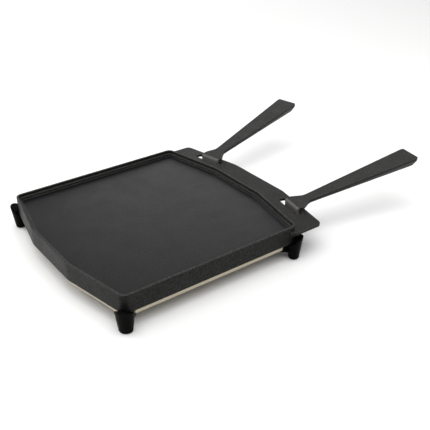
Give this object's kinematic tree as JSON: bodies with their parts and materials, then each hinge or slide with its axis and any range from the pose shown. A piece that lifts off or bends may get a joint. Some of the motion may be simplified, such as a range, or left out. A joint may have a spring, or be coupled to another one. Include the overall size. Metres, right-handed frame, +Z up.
{
  "type": "electric griddle",
  "caption": "Bowed-end cast griddle plate with stepped rim and two hook-in handles, resting on four corner feet over a shallow heated base pan.",
  "frame": {"origin": "on the table under the middle of the whole object, handles included", "axes": "+Z up, +Y towards the two handles, +X to the side the right handle leans to"},
  "size_m": [0.32, 0.5189, 0.082],
  "materials": {
    "cast_plate": "seasoned cast iron, cooking face ground",
    "cast_handle": "seasoned cast iron, as cast",
    "stainless": "pressed stainless steel",
    "fibre_board": "mica and mineral fibre board",
    "reflector_aluminium": "bright rolled aluminium",
    "ceramic": "steatite ceramic",
    "zinc_steel": "zinc-plated steel",
    "element_sheath": "heat-oxidised nickel steel sheath",
    "copper": "drawn copper",
    "black_phenolic": "black moulded phenolic",
    "nickel_brass": "nickel-plated brass",
    "white_marking": "white inlay",
    "lamp_red": "red translucent lens",
    "glass_sleeving": "woven glass-fibre sleeving",
    "lead_black": "silicone-insulated wire",
    "lead_brown": "silicone-insulated wire",
    "lead_blue": "silicone-insulated wire",
    "lead_green": "silicone-insulated wire",
    "foot_rubber": "moulded silicone rubber"
  },
  "bodies": {
    "base": {"base_pan": "stainless", "insulation_board": "fibre_board", "reflector": "reflector_aluminium", "reflector_spacers": "ceramic", "reflector_screws": "zinc_steel", "heating_element": "element_sheath", "element_seals": "ceramic", "element_pins": "zinc_steel", "element_clips": "zinc_steel", "sensor_spring": "zinc_steel", "sensor_bulb": "copper", "capillary_tube": "copper", "thermal_cutout": "zinc_steel", "seal_plate": "fibre_board", "housing_shell": "black_phenolic", "housing_base": "black_phenolic", "housing_screws": "zinc_steel", "cover_screws": "zinc_steel", "inlet_body": "black_phenolic", "inlet_pins": "nickel_brass", "thermostat_body": "ceramic", "thermostat_nut": "zinc_steel", "lamp_body": "black_phenolic", "lamp_lens": "lamp_red", "terminal_block": "ceramic", "terminal_screws": "zinc_steel", "earth_stud": "nickel_brass", "foot_screws": "zinc_steel", "foot_nuts": "zinc_steel", "cutout_leads": "glass_sleeving", "lamp_leads": "lead_black", "live_wire": "lead_brown", "neutral_wire": "lead_blue", "thermostat_wire": "lead_brown", "heater_wire": "glass_sleeving", "earth_wire": "lead_green", "front_right_foot": "black_phenolic", "front_right_foot_tip": "foot_rubber", "front_left_foot": "black_phenolic", "front_left_foot_tip": "foot_rubber", "back_right_foot": "black_phenolic", "back_right_foot_tip": "foot_rubber", "back_left_foot": "black_phenolic", "back_left_foot_tip": "foot_rubber"},
    "griddle": {"griddle_plate": "cast_plate"},
    "right_grip": {"right_handle": "cast_handle"},
    "left_grip": {"left_handle": "cast_handle"},
    "knob": {"control_knob": "black_phenolic", "control_shaft": "zinc_steel", "knob_pointer": "white_marking"}
  },
  "joints": [
    {"name": "griddle_lift", "type": "slide", "parent": "base", "child": "griddle", "axis": [0, 0, 1], "range_m": [0, 0.08]},
    {"name": "right_handle_unhook", "type": "hinge", "parent": "griddle", "child": "right_grip", "pos_m": [0.09702, 0.06711, 0.0346], "axis": [0.9806, -0.1961, 0], "range_deg": [0, 35]},
    {"name": "left_handle_unhook", "type": "hinge", "parent": "griddle", "child": "left_grip", "pos_m": [-0.09702, 0.06711, 0.0346], "axis": [0.9806, 0.1961, 0], "range_deg": [0, 35]},
    {"name": "thermostat_turn", "type": "hinge", "parent": "base", "child": "knob", "pos_m": [0.029, 0.07861, 0.019], "axis": [0, -1, 0], "range_deg": [0, 270]}
  ]
}
